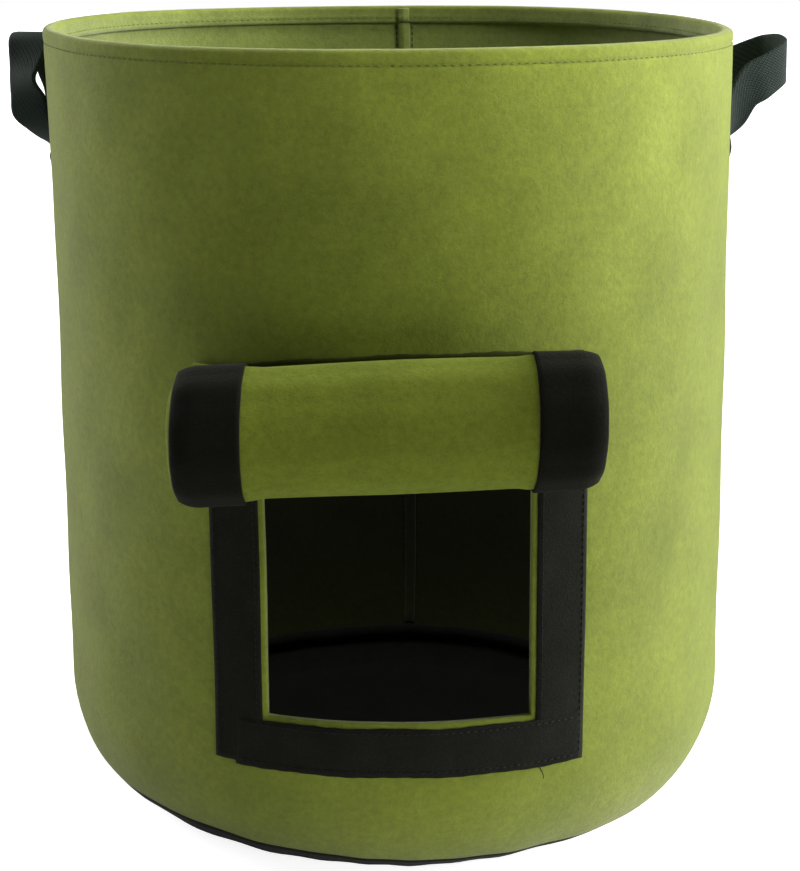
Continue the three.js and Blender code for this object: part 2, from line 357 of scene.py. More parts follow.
def felt_material(name, colour, sheen, sheen_tint=(1.0, 0.95, 0.82), shaded=None):
    """Needle felt: tangled fibres, soft mottling, dimples and a nap.

    shaded is two heights and a share: going down from the second to the first, the felt darkens to the share.
    This darkening is painted shade, for the dim inside of the bag.
    """
    nodes = material_nodes(name)
    place = nodes.add("ShaderNodeTexCoord").outputs["Object"]
    clouds = nodes.noise(place, 26, 3, 0.6)
    clumps = nodes.noise(place, 330, 3, 0.6, 0.25)
    dimples = nodes.noise(place, 560, 2, 0.5, 0.1)
    fibres = nodes.noise(place, 1500, 3, 0.7, 1.5)
    base = nodes.ramp(clumps, [(0.28, scaled(colour, 0.86)), (0.5, colour), (0.74, scaled(colour, 1.14))])
    shade = nodes.ramp(clouds, [(0.3, (0.86, 0.86, 0.84)), (0.7, (1.12, 1.11, 1.08))])
    base = nodes.mix(1.0, base, shade, "MULTIPLY")
    light = nodes.ramp(fibres, [(0.34, (0.74, 0.74, 0.72)), (0.52, (1, 1, 1)), (0.7, (1.3, 1.28, 1.26))])
    base = nodes.mix(0.5, base, light, "MULTIPLY")
    # Painted shade: the colour darkens going down, where little light reaches inside the bag
    if shaded:
        height = nodes.add("ShaderNodeSeparateXYZ", {"Vector": place}).outputs["Z"]
        inputs = {"Value": height, "From Min": shaded[0], "From Max": shaded[1]}
        inputs.update({"To Min": shaded[2], "To Max": 1.0})
        share = nodes.add("ShaderNodeMapRange", inputs, interpolation_type="SMOOTHSTEP").outputs["Result"]
        base = nodes.mix(1.0, base, nodes.ramp(share, [(0.0, (0, 0, 0)), (1.0, (1, 1, 1))]), "MULTIPLY")
    height = nodes.math("ADD", nodes.math("MULTIPLY", dimples, 0.5), nodes.math("MULTIPLY", fibres, 0.4))
    normal = nodes.bump(height, 0.6 * MM, 0.8)
    return nodes.finish(base, normal, 0.95, sheen, sheen_tint, 0.1)


def tape_material(name, colour, pile):
    """Hook and loop tape: a napped or bristly field, dense and slightly uneven. pile sets how fine it is."""
    nodes = material_nodes(name)
    place = nodes.add("ShaderNodeTexCoord").outputs["Object"]
    worn = nodes.noise(place, 60, 3, 0.6)
    tufts = nodes.add("ShaderNodeTexVoronoi", {"Vector": place, "Scale": pile}).outputs["Distance"]
    fuzz = nodes.noise(place, 1300, 3, 0.7, 2.0)
    base = nodes.ramp(fuzz, [(0.35, scaled(colour, 0.55)), (0.55, colour), (0.75, scaled(colour, 2.2))])
    shade = nodes.ramp(worn, [(0.3, (0.8, 0.8, 0.8)), (0.7, (1.25, 1.25, 1.2))])
    base = nodes.mix(1.0, base, shade, "MULTIPLY")
    height = nodes.math("SUBTRACT", nodes.math("MULTIPLY", fuzz, 0.7), nodes.math("MULTIPLY", tufts, 0.6))
    return nodes.finish(base, nodes.bump(height, 0.22 * MM, 0.7), 0.92, 0.03, (0.8, 0.85, 0.6), 0.1)


def webbing_material(name, colour):
    """Flat woven webbing: ribs of weft across the strap, with the twill's diagonal over them."""
    nodes = material_nodes(name)
    uv = nodes.add("ShaderNodeUVMap", uv_map="cloth").outputs["UV"]
    place = nodes.add("ShaderNodeTexCoord").outputs["Object"]
    axes = nodes.add("ShaderNodeSeparateXYZ", {"Vector": uv})
    across, along = axes.outputs["X"], axes.outputs["Y"]
    wave = lambda value, pitch: nodes.math("SINE", nodes.math("MULTIPLY", value, 2 * math.pi / pitch))
    ribs = wave(along, 1.5 * MM)
    ends = wave(across, 1.25 * MM)
    twill = wave(nodes.math("ADD", across, nodes.math("MULTIPLY", along, 0.8)), 2.5 * MM)
    weave = nodes.math("ADD", nodes.math("MULTIPLY", ribs, ends), nodes.math("MULTIPLY", twill, 0.5))
    level = nodes.math("MULTIPLY_ADD", weave, 0.3, 0.5)
    fuzz = nodes.noise(place, 1500, 3, 0.6)
    base = nodes.ramp(level, [(0.2, scaled(colour, 0.6)), (0.55, colour), (0.9, scaled(colour, 1.45))])
    shade = nodes.ramp(nodes.noise(place, 70, 3), [(0.3, (0.85, 0.85, 0.85)), (0.7, (1.15, 1.15, 1.12))])
    base = nodes.mix(1.0, base, shade, "MULTIPLY")
    height = nodes.math("ADD", level, nodes.math("MULTIPLY", fuzz, 0.25))
    return nodes.finish(base, nodes.bump(height, 0.35 * MM, 0.9), 0.75, 0.03, (0.85, 1.0, 0.95), 0.1)


def thread_material(name, colour):
    """Sewing thread: a tight twist with a faint gloss."""
    nodes = material_nodes(name)
    place = nodes.add("ShaderNodeTexCoord").outputs["Object"]
    twist = nodes.noise(place, 2600, 2, 0.5)
    base = nodes.ramp(twist, [(0.3, scaled(colour, 0.7)), (0.7, scaled(colour, 1.3))])
    return nodes.finish(base, nodes.bump(twist, 0.12 * MM, 0.6), 0.7, 0.05, (1, 1, 1), 0.2)


OLIVE = (0.2, 0.25, 0.027)
GREEN_FELT = felt_material("olive_felt", OLIVE, 0.26)
FLAP_FELT = felt_material("olive_felt_flap", scaled(OLIVE, 0.85), 0.06, (0.8, 1.0, 0.4))
# The inside's felt, with painted shade that darkens it deep inside the bag
INNER_FELT_PAINTED_SHADE = felt_material("olive_felt_inside_painted_shade", (0.19, 0.235, 0.05), 0.32, (1, 0.97, 0.9),
                           shaded=(0.16, 0.325, 0.13))
# Painted shadow: the flap's sewn edge is near-black olive, for the dark gap between the rolled flap and the
# wall
SEAM_FELT_PAINTED_SHADOW = felt_material("seam_felt_painted_shadow", scaled(OLIVE, 0.14), 0.02, (0.8, 1.0, 0.4))
DARK_FELT = felt_material("dark_base_felt", (0.016, 0.016, 0.014), 0.1, (0.8, 0.8, 0.8))
LOOP_TAPE = tape_material("loop_tape", (0.0115, 0.0122, 0.0088), 1100)
HOOK_TAPE = tape_material("hook_tape", (0.0056, 0.006, 0.0036), 700)
WEBBING = webbing_material("dark_webbing", (0.019, 0.029, 0.024))
GREEN_THREAD = thread_material("olive_thread", (0.13, 0.175, 0.03))
INNER_THREAD = thread_material("olive_thread_inside", (0.03, 0.04, 0.01))
BLACK_THREAD = thread_material("black_thread", (0.005, 0.005, 0.0045))


# ---------------- stitches

STITCH_THICKNESS = 0.55 * MM
STITCH_PLACES = np.array([0, 0.14, 0.5, 0.86, 1])  # shares of a stitch's length
STITCH_SIZES = np.array([0.45, 0.9, 1.0, 0.9, 0.45])  # shares of half the thread's thickness, at those places
STITCH_RISES = np.array([-0.55, 0.12, 0.3, 0.12, -0.55])  # shares of the thickness that the thread stands up


def along_path(at, run, values):
    """The values of a path's points, at lengths along it."""
    return np.stack([np.interp(at, run, values[:, axis]) for axis in range(3)], -1)


def path_run(points):
    """The length along a path at each of its points."""
    return np.concatenate([[0], np.cumsum(np.linalg.norm(np.diff(points, axis=0), axis=1))])


def stitch_row(points, normals, pitch, length):
    """A row of stitches along a path: short threads whose ends dip into the cloth."""
    run = path_run(points)
    stitches = []
    for number in range(int(run[-1] / pitch)):
        at = (number + 0.5) * pitch - length / 2 + length * STITCH_PLACES
        centres, ups = along_path(at, run, points), along_path(at, run, normals)
        along = centres[-1] - centres[0]
        along /= np.linalg.norm(along)
        sizes, rises = STITCH_THICKNESS / 2 * STITCH_SIZES, STITCH_THICKNESS * STITCH_RISES
        rings = []
        for centre, up, across, size, rise in zip(centres, ups, np.cross(ups, along), sizes, rises):
            rings.append(round_ring(centre + up * rise, across, up, size))
        stitches.append(capped(rings)[:2])
    return join_bodies(stitches)


def sew(name, paths, material, pitch=3.0 * MM, length=2.4 * MM):
    """One object on the bag's body, holding the stitches along each (points, normals) path."""
    rows = [stitch_row(points, normals, pitch, length) for points, normals in paths]
    thing = make_object(name, *join_bodies(rows), [material])
    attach(thing, "bag")


# ---------------- wall, hem and seams

WALL_FOOT = 7 * MM  # the mesh's lowest row, before it follows the base seam
WINDOW_COLUMNS = 26
COLUMNS_AROUND = 230


def wall_levels():
    """Heights of the wall's mesh rows below the hem, closer together round the corner and at the window."""
    corner = CORNER_UP - (CORNER_UP - WALL_FOOT) * np.cos(np.linspace(0, math.pi / 2, 15))
    rows = [corner, np.linspace(CORNER_UP, WINDOW_LOW, 6)[1:], np.linspace(WINDOW_LOW, WINDOW_HIGH, 18)[1:]]
    rows.append(np.linspace(WINDOW_HIGH, HEIGHT - HEM_DEPTH - 0.5 * MM, 26)[1:])
    return np.concatenate(rows)


def wall_profile():
    """The wall's section as (height, lift) points: up the outside, over the folded hem, and down the inside.

    With it go the number of its points below the hem, and the number of its first point inside.
    """
    levels = wall_levels()
    outside = [(z, 0.0) for z in levels]
    below_rim = [8.0, 7.2, 6.8, 6.4, 6.0, 5.6, 5.2, 4.6, 3.6, 2.6, 1.6]  # closer together at the stitches
    outside += [(HEIGHT - d * MM, 0.12 * MM * math.sin(math.pi * (8.0 - d) / 7)) for d in below_rim]
    turns = np.linspace(0, math.pi, 9)
    rim = [(HEIGHT - 1.6 * MM * (1 - math.sin(a)), -FELT + FELT * math.cos(a)) for a in turns[1:-1]]
    hem = [(HEIGHT - d * MM, -2 * FELT - 0.1 * MM) for d in (1.6, 2.6, 3.6, 4.6, 5.4)]
    hem += [(HEIGHT - 6.0 * MM, -2 * FELT + 0.3 * MM)]
    hem += [(HEIGHT - d * MM, -2 * FELT - 0.05 * MM) for d in (6.6, 7.6)]
    hem += [(HEIGHT - HEM_DEPTH + 0.3 * MM, -2 * FELT + 0.3 * MM), (HEIGHT - HEM_DEPTH, -2 * FELT + 0.9 * MM)]
    hem += [(HEIGHT - HEM_DEPTH - 0.1 * MM, -FELT - 0.4 * MM)]
    inside = [(z, -FELT) for z in levels[::-1]]
    return outside + rim + hem + inside, len(levels), len(outside + rim)


def wall_arcs():
    """Arcs of the wall's mesh columns: across the window, then round the bag, and closer at the back seam."""
    window = np.linspace(-WINDOW_HALF_WIDTH, WINDOW_HALF_WIDTH, WINDOW_COLUMNS + 1)
    by_seam = BACK_SEAM_ARC + np.array([-3, -2, -1.2, -0.6, 0, 0.6, 1.2, 2, 3]) * MM
    around = np.linspace(WINDOW_HALF_WIDTH, ROUND - WINDOW_HALF_WIDTH, COLUMNS_AROUND + 2)[1:-1]
    around = around[np.abs(around - BACK_SEAM_ARC) > 4 * MM]
    return np.concatenate([window, np.sort(np.concatenate([around, by_seam]))])


def wall_points(arcs, heights, lifts):
    """The wall's mesh points, its lowest rows following the base seam and its rim waving a little."""
    grid_arc, grid_z = np.meshgrid(arcs, heights)
    theta = grid_arc / RADIUS
    low = heights.min()
    follow = np.clip((CORNER_UP - grid_z) / (CORNER_UP - low), 0, 1)
    grid_z = grid_z + (seam_height(theta) - low) * follow ** 2
    grid_z = grid_z + smoothstep(HEIGHT - 45 * MM, HEIGHT, grid_z) * rim_wave(theta)
    hem_wave = 0.15 * MM * np.sin(47 * theta + 2 * np.sin(5 * theta)) * (lifts[:, None] < -4 * MM)
    return wall_place(grid_arc, grid_z, lifts[:, None] + hem_wave)[0]


def wall_faces(heights, columns, below_hem):
    """The wall's faces, round and round and up, with the window cut through it and its cut edges closed."""
    rows = len(heights)
    at = lambda row, column: (row % rows) * columns + column % columns
    inner = lambda row: rows - 1 - row
    near = 1e-6
    window_rows = {r for r in range(below_hem - 1) if WINDOW_LOW - near <= heights[r] < WINDOW_HIGH - near}
    cut = window_rows | {inner(r + 1) for r in window_rows}
    faces, face_rows = [], []
    for row in range(rows):
        for column in range(columns):
            if row in cut and column < WINDOW_COLUMNS:
                continue
            faces.append((at(row, column), at(row, column + 1), at(row + 1, column + 1), at(row + 1, column)))
            face_rows.append(row)
    low, high, end = min(window_rows), max(window_rows) + 1, WINDOW_COLUMNS
    for row in range(low, high):
        faces.append((at(row, 0), at(row + 1, 0), at(inner(row + 1), 0), at(inner(row), 0)))
        faces.append((at(row + 1, end), at(row, end), at(inner(row), end), at(inner(row + 1), end)))
    for column in range(WINDOW_COLUMNS):
        after = column + 1
        faces.append((at(low, after), at(low, column), at(inner(low), column), at(inner(low), after)))
        faces.append((at(high, column), at(high, after), at(inner(high), after), at(inner(high), column)))
    return faces, face_rows


def felt_wall():
    profile, below_hem, hem_row = wall_profile()
    heights, lifts = np.array(profile).T
    arcs = wall_arcs()
    points = wall_points(arcs, heights, lifts).reshape(-1, 3)
    faces, face_rows = wall_faces(heights, len(arcs), below_hem)
    used, numbers = np.unique(np.array(faces), return_inverse=True)
    inside = [int(row >= hem_row) for row in face_rows]
    inside += [0] * (len(faces) - len(inside))
    faces = numbers.reshape(-1, 4).tolist()
    wall = make_object("felt_wall", points[used], faces, [GREEN_FELT, INNER_FELT_PAINTED_SHADE], inside)
    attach(wall, "bag")
    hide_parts("wall_panel")


def wall_strip(name, arc_range, z_range, lift_range, material, steps):
    """A strip of tape or cloth that lies on the wall, its cut edges rounded and wandering a little.

    lift_range gives how far off the wall its two faces lie, and steps its mesh rows round the bag and up.
    """
    low, high = z_range
    back, face = lift_range
    edge, middle = 0.35 * MM, (back + face) / 2
    levels = np.linspace(low + edge, high - edge, steps[1])
    section = [(low, middle)] + [(z, face) for z in levels] + [(high, middle)]
    section += [(z, back) for z in levels[::-1]]
    heights, lifts = np.array(section).T
    at_edge = np.abs(heights - (low + high) / 2) > (high - low) / 2 - 2 * edge
    rings = []
    for arc in np.linspace(*arc_range, steps[0]):
        thinned = 0.35 if arc in arc_range else 1.0
        wander = 0.25 * MM * np.sin(arc * 160 + 1.7) + 0.12 * MM * np.sin(arc * 700)
        rings.append(wall_place(arc, heights + wander * at_edge, middle + (lifts - middle) * thinned)[0])
    thing = make_object(name, *capped(rings)[:2], [material])
    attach(thing, "bag")
    return thing


def back_seam():
    """The joined edges of the wall, turned in down the back and caught under the hem."""
    arcs = (BACK_SEAM_ARC - 3 * MM, BACK_SEAM_ARC + 3 * MM)
    hem_edge = HEIGHT - HEM_DEPTH
    ridge = wall_strip("back_seam_ridge", arcs, (14 * MM, hem_edge - 0.4 * MM),
                       (-FELT - 0.3 * MM, -FELT - 2.6 * MM), INNER_FELT_PAINTED_SHADE, (9, 90))
    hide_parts("back_seam_allowance")
    over = wall_strip("back_seam_under_hem", arcs, (hem_edge + 0.6 * MM, HEIGHT - 1.4 * MM),
                      (-2 * FELT - 0.1 * MM, -2 * FELT - 1.5 * MM), INNER_FELT_PAINTED_SHADE, (9, 12))
    heights = np.linspace(26 * MM, hem_edge - 1 * MM, 160)
    for side, offset in (("left", -4.1), ("right", 4.1)):
        points, normals = wall_place(BACK_SEAM_ARC + offset * MM, heights, -FELT)
        sew(f"back_seam_stitches_{side}", [(points, -normals)], INNER_THREAD)


def felt_base():
    """The dark base: a disc whose edge turns up to meet the wall's lower edge."""
    under_seam = 0.45 * MM
    # A tiny hole in the middle keeps the faces there from being pinched to a point
    radii = np.concatenate([[0.01 * MM, 0.4 * MM], np.linspace(8 * MM, FLAT_RADIUS - 6 * MM, 8)])
    turn_up = 1 - np.cos(np.linspace(0, math.pi / 2, 9))
    rings = []
    for theta in np.linspace(0, 2 * math.pi, 180, endpoint=False):
        heights = (seam_height(theta) - under_seam) * turn_up
        outer, _ = wall_place(theta * RADIUS, heights, 0.0)
        inner, _ = wall_place(theta * RADIUS, heights[::-1], -FELT)
        side = np.array([math.sin(theta), -math.cos(theta)])
        sag = 0.25 * MM * (1 + np.sin(3 * theta + 40 * radii)) * smoothstep(0, 30 * MM, radii)
        under = np.column_stack([radii[:, None] * side, sag])
        over = np.column_stack([radii[::-1, None] * side, sag[::-1] + FELT])
        rings.append(np.concatenate([under, outer, inner, over]))
    vertices, faces = loft(rings, closed=True)
    base = make_object("felt_base", vertices, faces, [DARK_FELT])
    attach(base, "bag")
    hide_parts("base_panel")


def base_seam():
    """The two turned-in edges of the base seam, standing inside the corner."""
    # Places round their section: up from the seam, and in from the felt's inside, in mm
    section = [(-1.6, 0.2), (1.8, 0.2), (2.2, 4.0), (1.9, 7.4), (0.2, 8.0), (-1.7, 7.4), (-2.0, 4.0)]
    ups, deeps = np.array(section).T
    rings = []
    for theta in np.linspace(0, 2 * math.pi, 200, endpoint=False):
        wave = 0.4 * MM * math.sin(26 * theta) * deeps / 8
        heights = seam_height(theta) + 0.5 * MM + ups * MM
        rings.append(wall_place(theta * RADIUS, heights, -FELT - 0.5 * MM - deeps * MM + wave)[0])
    seam = make_object("base_seam_edges", *loft(rings, closed=True), [DARK_FELT])
    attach(seam, "bag")
    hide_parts("base_seam_allowance")


def hem_stitches():
    """The row of stitches that holds the folded hem, seen on both sides of the felt."""
    arcs = np.linspace(0, ROUND, 700)
    heights = HEIGHT - STITCH_BELOW_RIM + rim_wave(arcs / RADIUS)
    outside, normals = wall_place(arcs, heights, 0.0)
    inside, inner_normals = wall_place(arcs, heights, -2 * FELT + 0.3 * MM)
    for where, path in (("outside", (outside, normals)), ("inside", (inside, -inner_normals))):
        sew(f"hem_stitches_{where}", [path], GREEN_THREAD, pitch=3.2 * MM, length=2.5 * MM)


# ---------------- window tapes

def window_tapes():
    """Loop tape down both sides of the window, and one piece below it laid over their ends."""
    lift = (0.1 * MM, TAPE_THICKNESS)
    for side, sign in (("left", -1), ("right", 1)):
        arcs = sorted((sign * TAPE_INSIDE, sign * TAPE_OUTSIDE))
        strip = wall_strip(f"loop_tape_{side}", arcs, (TAPE_LOW, TAPE_HIGH), lift, LOOP_TAPE, (16, 70))
        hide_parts(f"window_tape_{side}")
        paths = []
        for arc in (TAPE_INSIDE + STITCH_INSET, TAPE_OUTSIDE - STITCH_INSET):
            heights = np.linspace(TAPE_LOW + STITCH_INSET, TAPE_HIGH - STITCH_INSET, 120)
            paths.append(wall_place(sign * arc, heights, lift[1]))
        sew(f"loop_tape_stitches_{side}", paths, BLACK_THREAD)
    ends = (-TAPE_INSIDE - 12.5 * MM, TAPE_OUTSIDE - 0.3 * MM)
    laid_over = (lift[0] + 0.3 * MM, lift[1] + 0.25 * MM)
    levels = (TAPE_LOW - 1.2 * MM, BOTTOM_TAPE_HIGH)
    strip = wall_strip("loop_tape_bottom", ends, levels, laid_over, LOOP_TAPE, (60, 12))
    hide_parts("window_tape_bottom")
    arcs = np.linspace(ends[0] + STITCH_INSET, ends[1] - STITCH_INSET, 120)
    heights = (TAPE_LOW + 1.4 * MM, BOTTOM_TAPE_HIGH - STITCH_INSET)
    paths = [wall_place(arcs, z, laid_over[1]) for z in heights]
    sew("loop_tape_stitches_bottom", paths, BLACK_THREAD)


def thread_tail():
    """A loose end of thread at the lower right of the window tape, hanging away from the wall."""
    shares = np.linspace(0, 1, 12)
    arcs = TAPE_INSIDE + 1 * MM + 1.5 * MM * shares
    points, normals = wall_place(arcs, TAPE_LOW - 5.5 * MM * shares, 0)
    points = points + normals * (2.2 * MM + 2.5 * MM * np.sin(shares * 2.6))[:, None]
    across, out = np.eye(3)[:2]
    rings = [round_ring(p, across, out, 0.28 * MM * (1 - 0.5 * share)) for p, share in zip(points, shares)]
    tail = make_object("thread_tail", *capped(rings)[:2], [BLACK_THREAD])
    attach(tail, "bag")


# ---------------- the flap

def flap_chain():
    """The hinge points of the rolled flap as (y, z), from the sewn edge on, and a strip's length."""
    names = ["flap_lift"] + [name for name in JOINTS if name.startswith("flap_unroll")]
    points = np.array([JOINTS[name]["pos_m"][1:] for name in names])
    return points, np.linalg.norm(points[1] - points[0])


FLAP_HINGES, STRIP = flap_chain()


def flap_knots():
    """Points of the roll's section, two for each strip: its hinge, and a little out from its middle."""
    before = FLAP_HINGES[-1] - FLAP_HINGES[-2]
    heading = math.atan2(before[1], before[0]) - ROLL_LAST_TURN
    end = FLAP_HINGES[-1] + STRIP * np.array([math.cos(heading), math.sin(heading)])
    corners = np.vstack([FLAP_HINGES, end])
    knots = []
    for here, after in zip(corners, corners[1:]):
        step = after - here
        out = np.array([-step[1], step[0]]) / np.linalg.norm(step)
        knots += [here, (here + after) / 2 + out * 0.45 * MM]
    return np.array(knots + [end])


KNOTS = flap_knots()
ROLL_CENTRE = (KNOTS[4] + KNOTS[17]) / 2  # between two knots on opposite sides of the roll


def flap_section(place):
    """(y, z) and the outward normal at a place along the flap. Above the hinge line it lies on the wall."""
    last = len(KNOTS) - 1
    where = np.clip(place * 2, 0, last - 1e-9)
    k = where.astype(int)
    corners = [KNOTS[np.clip(k + i, 0, last)] for i in (-1, 0, 1, 2)]
    point, slope = spline(*corners, (where - k)[..., None])
    above = np.clip(-place, 0, None)
    sewn = smoothstep(0, 0.35, above)[..., None]
    normal = np.stack([-slope[..., 1], slope[..., 0]], -1) * (1 - sewn) + np.array([1.0, 0]) * sewn
    point = point + sewn * [1.1 * MM, 0] + above[..., None] * [0, STRIP]
    return point, normal / np.linalg.norm(normal, axis=-1, keepdims=True)


def settle_in(place):
    """0 at the sewn edge, and 1 from the middle of the first strip on."""
    return smoothstep(0, 0.5, place)


def flap_place(x, place, lift):
    """Points on the flap: x from its middle, place along it, and lift off its middle towards the tapes."""
    x, place, lift = np.broadcast_arrays(*(np.asarray(v, float) for v in (x, place, lift)))
    section, normal = flap_section(place)
    point = section + normal * lift[..., None]
    edge = np.clip((np.abs(x) - END_CURL_FROM) / (FLAP_HALF_WIDTH + 1.5 * MM - END_CURL_FROM), 0, 1)
    between = 1 - smoothstep(FLAP_TAPE_INSIDE - 7 * MM, FLAP_TAPE_INSIDE, np.abs(x))
    curl = END_CURL * (1 - np.sqrt(1 - edge ** 2)) + DRAWN_IN * between
    curl = curl + NARROWING * np.clip(x / FLAP_HALF_WIDTH, 0, 1)
    point = point + (ROLL_CENTRE - point) * (curl * smoothstep(ROLL_FROM, ROLL_TO, place))[..., None]
    settle = settle_in(place)
    x = x * (1 + STRETCH * np.cos(STRETCH_TURN * (place - STRETCH_MIDDLE)) * settle)
    hug = 1 - smoothstep(-0.3, FLAP_STRAIGHT_FROM, place)
    y = point[..., 0] + wall_gap(x) * hug
    z = point[..., 1] + FLAP_TILT * x * settle
    z = z + 0.5 * MM * settle * np.sin(34 * x + 0.8 * place)
    return np.stack([x + FLAP_SHIFT * settle, y, z], -1)


def flap_edges(place):
    """Where the felt ends at the left and the right: slightly wandering cut edges."""
    wander = 0.3 * MM * math.sin(place * 1.9)
    return -FLAP_HALF_WIDTH + 1.1 * MM - wander, FLAP_HALF_WIDTH - 3.3 * MM + wander


def flap_strip(name, places, x_range, lifts, material, columns):
    """A stretch of the flap, with rounded sides. With no x_range it is as wide as the felt."""
    back, face = lifts
    middle = (back + face) / 2
    inset = 0.5 * MM
    shares = np.linspace(0, 1, columns)
    # Round the section: the share of the width, how much of the inset, and the lift
    section = [(0.0, 0, middle)] + [(share, 1, face) for share in shares] + [(1.0, 0, middle)]
    section += [(share, 1, back) for share in shares[::-1]]
    share, inside, lift = np.array(section).T
    rings = []
    for place in places:
        low, high = x_range or flap_edges(place)
        rings.append(flap_place(low + (high - low) * share + inside * inset * (1 - 2 * share), place, lift))
    vertices, faces, caps = capped(rings)
    return make_object(name, vertices, faces, [material], sharp=caps)


def flap_stretches():
    """The two bodies and the two places of each stretch of the flap.

    Each crosses one hinge, from the middle of one strip to the middle of the next. The first starts at the
    seam, and the last runs to the end.
    """
    bodies = ["bag"] + FLAP_BODIES
    stops = [k + 0.5 for k in range(len(FLAP_BODIES) - 1)] + [len(FLAP_BODIES)]
    return list(zip(bodies, FLAP_BODIES, [0] + stops, stops))


def bend_points(start, stop):
    """Two points on a stretch's middle line for where it would start and stop bending, set so that each
    crossing line of the flap would bend as one.
    """
    first, last = flap_place(0, start, 0), flap_place(0, stop, 0)
    toward = last - first
    if stop <= FLAP_STRAIGHT_FROM:
        toward[1] = 0
    toward[0] = -FLAP_TILT * toward[2]
    toward /= np.linalg.norm(toward)
    return tuple(first), tuple(first + toward * np.dot(last - first, toward))


def flap_stretch(number, start, stop):
    """The felt of one stretch, and the pieces of tape on it."""
    steps = 13 if stop - start < 1.3 else 19
    places = np.concatenate([[start], np.linspace(start + 0.01, stop - 0.01, steps), [stop]])
    sewn = [] if number else [-SEWN_PART, 0.02 - SEWN_PART, -0.3, -0.15]
    felt = flap_strip(f"flap_felt_{number}", np.concatenate([sewn, places]), None, (-FELT / 2, FELT / 2),
                      FLAP_FELT, 49)
    lifts = (FELT / 2 + 0.05 * MM, FELT / 2 + TAPE_THICKNESS)
    tapes = []
    for side, sign, inset in (("left", -1, 2.2 * MM), ("right", 1, 2.9 * MM)):
        x_range = sorted((sign * FLAP_TAPE_INSIDE, sign * (FLAP_HALF_WIDTH - inset)))
        tapes.append(flap_strip(f"hook_tape_{side}_{number}", places, x_range, lifts, HOOK_TAPE, 17))
    if number == len(FLAP_BODIES) - 1:
        half = FLAP_TAPE_INSIDE - 0.4 * MM
        across = flap_strip("hook_tape_free_edge", np.linspace(number + 0.06, stop - 0.06, 14), (-half, half),
                            lifts, HOOK_TAPE, 41)
        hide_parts("hook_tape_bottom")
        tapes.append(across)
    return felt, tapes


def flap_pieces():
    for number, (before, after, start, stop) in enumerate(flap_stretches()):
        felt, tapes = flap_stretch(number, start, stop)
        bend = bend_points(start, min(stop, number + 0.5))
        for piece in (felt, *tapes):
            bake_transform(piece)
        strips = [number] if number else []
        if number == len(FLAP_BODIES) - 1:
            strips.append(number + 1)
        for strip in strips:
            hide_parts(f"flap_slat_{strip}")
            for tape, side in zip(tapes, ("left", "right")):
                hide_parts(f"hook_tape_{side}_{strip}")


def flap_seam():
    """The flap's top edge, sewn flat to the wall above the window. Its cut edge dips towards the sides."""
    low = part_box("flap_sewn_edge")[0][2] - 1.5 * MM
    high = low + 13.6 * MM
    half = FLAP_HALF_WIDTH - 4 * MM
    face = 2.4 * MM
    dip_share, stitched_share, kept_share = 0.28, 0.7, 0.8  # of the wall's gap, of the height, of the area
    dip = lambda x: FLAP_TILT * x - dip_share * wall_gap(x)
    # The strip's dark felt is a painted shadow for the gap above the roll
    strip = wall_strip("flap_seam_edge", (-half, half), (low, high), (0.2 * MM, face), SEAM_FELT_PAINTED_SHADOW, (60, 16))
    for vertex in strip.data.vertices:
        vertex.co.z += dip(vertex.co.x) * (vertex.co.z - low) / (high - low)
    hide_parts("flap_sewn_edge")
    arcs = np.linspace(-half + 2 * MM, half - 2 * MM, 160)
    heights = low + (high - low + dip(RADIUS * np.sin(arcs / RADIUS))) * stitched_share
    sew("flap_seam_stitches", [wall_place(arcs, heights, face)], BLACK_THREAD)


# ---------------- handles

def handle_axes(side):
    """The hinge's place, and the directions out from the bag and round it, of one handle."""
    joint = JOINTS[f"{side}_handle_swing"]
    around = np.array(joint["axis"])
    return np.array(joint["pos_m"]), np.cross(around, [0, 0, 1]), around


# Half of each handle's centre line, from the bottom of a sewn end to the loop's middle. Each place is given
# as out from the hinge line, in from the sewn end's middle, and up, in mm. With it goes the direction of the
# strap's width: out, round the bag, and up.
HANDLE_FOOT = 25.6  # from the loop's middle to the middle of a sewn end
SEWN_END = [((-1.2, 0, up), (0, 1, 0)) for up in (-41.5, -28, -14, -3)]
UPRIGHT_LOOP = [((-4.2, 0, 4), (0.4, 0.9, 0)), ((0.6, 0.3, 11), (0.8, 0.6, 0))]
UPRIGHT_LOOP += [((5.4, 0.6, 18), (0.97, 0.24, -0.1)), ((6.6, 1.2, 26), (0.95, 0.3, 0))]
UPRIGHT_LOOP += [((9.4, 2.5, 34), (0.72, 0.69, 0)), ((8.9, 6, 42), (0.9, 0.4, 0))]
UPRIGHT_LOOP += [((9.6, 12, 49), (1, 0.1, 0)), ((10.8, 19, 51.4), (1, 0, 0))]
UPRIGHT_LOOP += [((11.4, 25.6, 51.8), (1, 0, 0))]
LEANING_LOOP = [((-5.0, 0, 7), (0.2, 0.96, -0.15)), ((-0.8, 0.6, 19), (0.62, 0.5, -0.6))]
LEANING_LOOP += [((5.6, 1.8, 30), (0.35, 0.12, -0.93)), ((14.6, 4, 34.5), (0.12, 0, -0.99))]
LEANING_LOOP += [((24.6, 10, 39.5), (0, 0, -1)), ((28.0, 18, 41), (0.05, 0, -1))]
LEANING_LOOP += [((28.6, 25.6, 41.5), (0.05, 0, -1))]
LOOPS = {"left": UPRIGHT_LOOP, "right": LEANING_LOOP}


def handle_stations(side, pos, out, around):
    """Centre line points and width directions: up one sewn end, over the loop, and down the other."""
    half = [((o, r - HANDLE_FOOT, u), wide) for (o, r, u), wide in SEWN_END + LOOPS[side]]
    whole = half + [((o, -r, u), (a, -b, c)) for (o, r, u), (a, b, c) in half[-2::-1]]
    axes = np.array([out, around, (0, 0, 1.0)])
    line = pos + np.array([place for place, _ in whole]) @ axes * MM
    return line, np.array([wide for _, wide in whole], float) @ axes


